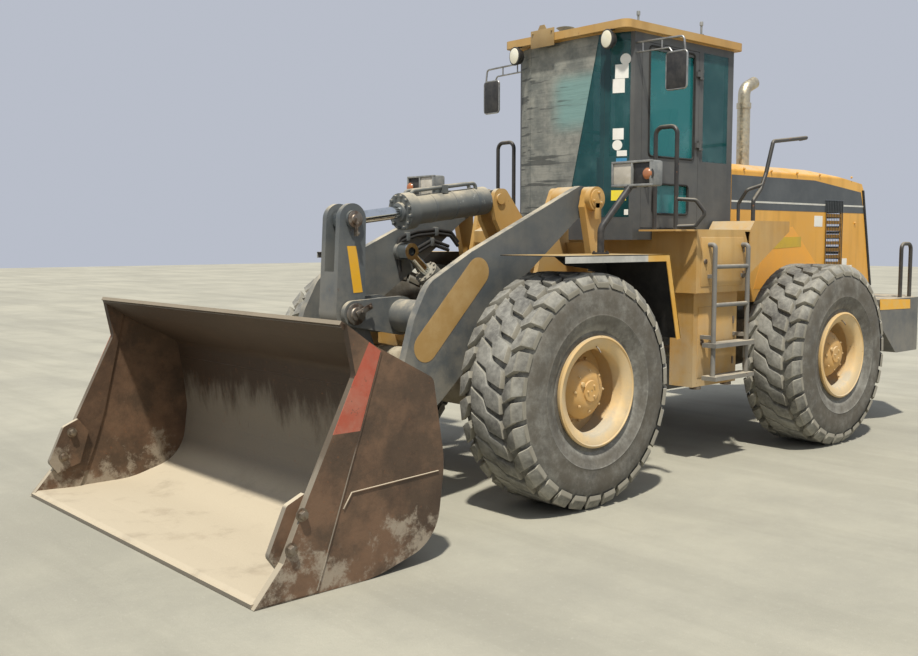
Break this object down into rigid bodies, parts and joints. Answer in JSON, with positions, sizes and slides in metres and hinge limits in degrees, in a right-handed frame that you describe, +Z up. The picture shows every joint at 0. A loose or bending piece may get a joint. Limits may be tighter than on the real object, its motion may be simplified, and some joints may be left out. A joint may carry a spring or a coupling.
{
  "type": "articulated wheel loader",
  "caption": "Articulated wheel loader with a Z-bar bucket linkage, enclosed cab, rear engine hood and large lugged tyres, for digging and loading loose material.",
  "frame": {"origin": "middle of the bounding box at floor level, with the machine straight and the bucket flat on the floor", "axes": "+X forward towards the bucket, +Y to the machine's left, +Z up"},
  "size_m": [8.11, 3, 3.4991],
  "materials": {
    "front_grey": "satin",
    "frame_dark": "satin",
    "axle_paint": "satin",
    "bucket_rust": "matte",
    "yellow_paint": "satin",
    "tan_paint": "satin",
    "cylinder_grey": "satin",
    "rod_chrome": "polished",
    "pin_steel": "satin",
    "tyre_rubber": "matte",
    "rim_paint": "satin",
    "cab_charcoal": "satin",
    "tinted_glass": "clear",
    "lamp_grey": "matte",
    "lamp_cream": "gloss",
    "rail_black": "satin",
    "ladder_grey": "satin",
    "grille_black": "matte",
    "engine_iron": "matte",
    "exhaust_steel": "satin",
    "seat_fabric": "matte",
    "console_plastic": "matte"
  },
  "bodies": {
    "rear_frame": {"rear_frame": "frame_dark", "rear_axle": "axle_paint", "axle_cradle": "frame_dark", "engine_block": "engine_iron", "hood": "yellow_paint", "radiator_grille": "grille_black", "counterweight": "frame_dark", "cab_base": "frame_dark", "side_boxes": "tan_paint", "platforms": "tan_paint", "ladders": "ladder_grey", "handrails": "rail_black", "cab_tub": "cab_charcoal", "cab_posts": "cab_charcoal", "cab_glass": "tinted_glass", "cab_roof": "tan_paint", "seat": "seat_fabric", "steering_console": "console_plastic", "exhaust": "exhaust_steel", "mirrors": "rail_black", "roof_lamps": "lamp_cream"},
    "front_frame": {"front_frame": "front_grey", "front_axle": "axle_paint", "front_fenders": "yellow_paint", "headlamps": "lamp_grey"},
    "boom": {"boom": "front_grey"},
    "bucket_pins": {"bucket_hinge_pins": "pin_steel"},
    "bucket": {"bucket": "bucket_rust"},
    "rocker_pin": {"rocker_pivot_pin": "pin_steel"},
    "rocker": {"rocker": "front_grey"},
    "link_pin": {"link_pivot_pin": "pin_steel"},
    "bucket_link": {"bucket_link": "front_grey"},
    "tilt_barrel": {"tilt_cylinder_barrel": "cylinder_grey"},
    "tilt_rod": {"tilt_cylinder_rod": "rod_chrome"},
    "lift_barrels": {"lift_cylinder_barrels": "cylinder_grey"},
    "lift_rods": {"lift_cylinder_rods": "rod_chrome"},
    "steer_barrel_left": {"steer_barrel_left": "cylinder_grey"},
    "steer_rod_left": {"steer_rod_left": "rod_chrome"},
    "steer_barrel_right": {"steer_barrel_right": "cylinder_grey"},
    "steer_rod_right": {"steer_rod_right": "rod_chrome"},
    "wheel_front_left": {"tyre_front_left": "tyre_rubber", "rim_front_left": "rim_paint"},
    "wheel_front_right": {"tyre_front_right": "tyre_rubber", "rim_front_right": "rim_paint"},
    "wheel_rear_left": {"tyre_rear_left": "tyre_rubber", "rim_rear_left": "rim_paint"},
    "wheel_rear_right": {"tyre_rear_right": "tyre_rubber", "rim_rear_right": "rim_paint"},
    "door_left": {"door_left": "cab_charcoal", "door_left_glass": "tinted_glass"},
    "door_right": {"door_right": "cab_charcoal", "door_right_glass": "tinted_glass"}
  },
  "joints": [
    {"name": "steer", "type": "hinge", "parent": "rear_frame", "child": "front_frame", "pos_m": [-0.235, 0, 0.85], "axis": [0, 0, 1], "range_deg": [-35, 35]},
    {"name": "boom_lift", "type": "hinge", "parent": "front_frame", "child": "boom", "pos_m": [0.72, 0, 2.08], "axis": [0, -1, 0], "range_deg": [0, 88]},
    {"name": "bucket_level", "type": "hinge", "parent": "boom", "child": "bucket_pins", "pos_m": [2.725, 0, 0.4], "axis": [0, -1, 0], "range_deg": [-88.5, 0.5]},
    {"name": "bucket_tilt", "type": "hinge", "parent": "bucket_pins", "child": "bucket", "pos_m": [2.725, 0, 0.4], "axis": [0, -1, 0], "range_deg": [-45, 40]},
    {"name": "rocker_level", "type": "hinge", "parent": "boom", "child": "rocker_pin", "pos_m": [2.455, 0, 1.285], "axis": [0, -1, 0], "range_deg": [-0.5, 29]},
    {"name": "rocker_turn", "type": "hinge", "parent": "rocker_pin", "child": "rocker", "pos_m": [2.455, 0, 1.285], "axis": [0, -1, 0], "range_deg": [-13, 14.5]},
    {"name": "link_level", "type": "hinge", "parent": "bucket", "child": "link_pin", "pos_m": [2.785, 0, 0.68], "axis": [0, -1, 0], "range_deg": [-0.5, 59.5]},
    {"name": "link_turn", "type": "hinge", "parent": "link_pin", "child": "bucket_link", "pos_m": [2.785, 0, 0.68], "axis": [0, -1, 0], "range_deg": [-28, 31]},
    {"name": "tilt_barrel_pivot", "type": "hinge", "parent": "front_frame", "child": "tilt_barrel", "pos_m": [1.052, 0, 2.088], "axis": [0, -1, 0], "range_deg": [-0.5, 100.5]},
    {"name": "tilt_rod_slide", "type": "slide", "parent": "tilt_barrel", "child": "tilt_rod", "axis": [0.9924, 0, -0.1234], "range_m": [-0.15, 0.135]},
    {"name": "lift_barrel_pivot", "type": "hinge", "parent": "front_frame", "child": "lift_barrels", "pos_m": [0.515, 0, 0.85], "axis": [0, -1, 0], "range_deg": [-0.5, 31.5]},
    {"name": "lift_rod_slide", "type": "slide", "parent": "lift_barrels", "child": "lift_rods", "axis": [0.7502, 0, 0.6612], "range_m": [-0.005, 0.795]},
    {"name": "steer_barrel_left_pivot", "type": "hinge", "parent": "rear_frame", "child": "steer_barrel_left", "pos_m": [-0.955, 0.5, 0.85], "axis": [0, 0, 1], "range_deg": [-14, 14]},
    {"name": "steer_rod_left_slide", "type": "slide", "parent": "steer_barrel_left", "child": "steer_rod_left", "axis": [1, 0, 0], "range_m": [-0.305, 0.305]},
    {"name": "steer_barrel_right_pivot", "type": "hinge", "parent": "rear_frame", "child": "steer_barrel_right", "pos_m": [-0.955, -0.5, 0.85], "axis": [0, 0, 1], "range_deg": [-14, 14]},
    {"name": "steer_rod_right_slide", "type": "slide", "parent": "steer_barrel_right", "child": "steer_rod_right", "axis": [1, 0, 0], "range_m": [-0.305, 0.305]},
    {"name": "wheel_front_left_spin", "type": "hinge", "parent": "front_frame", "child": "wheel_front_left", "pos_m": [1.385, 1.11, 0.785], "axis": [0, 1, 0], "continuous": true},
    {"name": "wheel_front_right_spin", "type": "hinge", "parent": "front_frame", "child": "wheel_front_right", "pos_m": [1.385, -1.11, 0.785], "axis": [0, 1, 0], "continuous": true},
    {"name": "wheel_rear_left_spin", "type": "hinge", "parent": "rear_frame", "child": "wheel_rear_left", "pos_m": [-1.855, 1.11, 0.785], "axis": [0, 1, 0], "continuous": true},
    {"name": "wheel_rear_right_spin", "type": "hinge", "parent": "rear_frame", "child": "wheel_rear_right", "pos_m": [-1.855, -1.11, 0.785], "axis": [0, 1, 0], "continuous": true},
    {"name": "door_left_swing", "type": "hinge", "parent": "rear_frame", "child": "door_left", "pos_m": [-0.739, 0.636, 2.85], "axis": [0, 0, 1], "range_deg": [0, 100]},
    {"name": "door_right_swing", "type": "hinge", "parent": "rear_frame", "child": "door_right", "pos_m": [-0.739, -0.636, 2.85], "axis": [0, 0, -1], "range_deg": [0, 100]}
  ],
  "couplings": [
    {"joint": "bucket_level", "follows": "boom_lift", "ratio": -1},
    {"joint": "rocker_level", "follows": "boom_lift", "ratio": 0.3223},
    {"joint": "link_level", "follows": "boom_lift", "ratio": 0.6709},
    {"joint": "tilt_barrel_pivot", "follows": "boom_lift", "ratio": 1.1368},
    {"joint": "lift_barrel_pivot", "follows": "boom_lift", "ratio": 0.3526},
    {"joint": "lift_rod_slide", "follows": "boom_lift", "m_per_rad": 0.5144},
    {"joint": "rocker_turn", "follows": "bucket_tilt", "ratio": -0.3128},
    {"joint": "link_turn", "follows": "bucket_tilt", "ratio": -0.68},
    {"joint": "tilt_rod_slide", "follows": "bucket_tilt", "m_per_rad": 0.188},
    {"joint": "steer_barrel_left_pivot", "follows": "steer", "ratio": 0.389},
    {"joint": "steer_rod_left_slide", "follows": "steer", "m_per_rad": -0.4912},
    {"joint": "steer_barrel_right_pivot", "follows": "steer", "ratio": 0.389},
    {"joint": "steer_rod_right_slide", "follows": "steer", "m_per_rad": 0.4912}
  ]
}
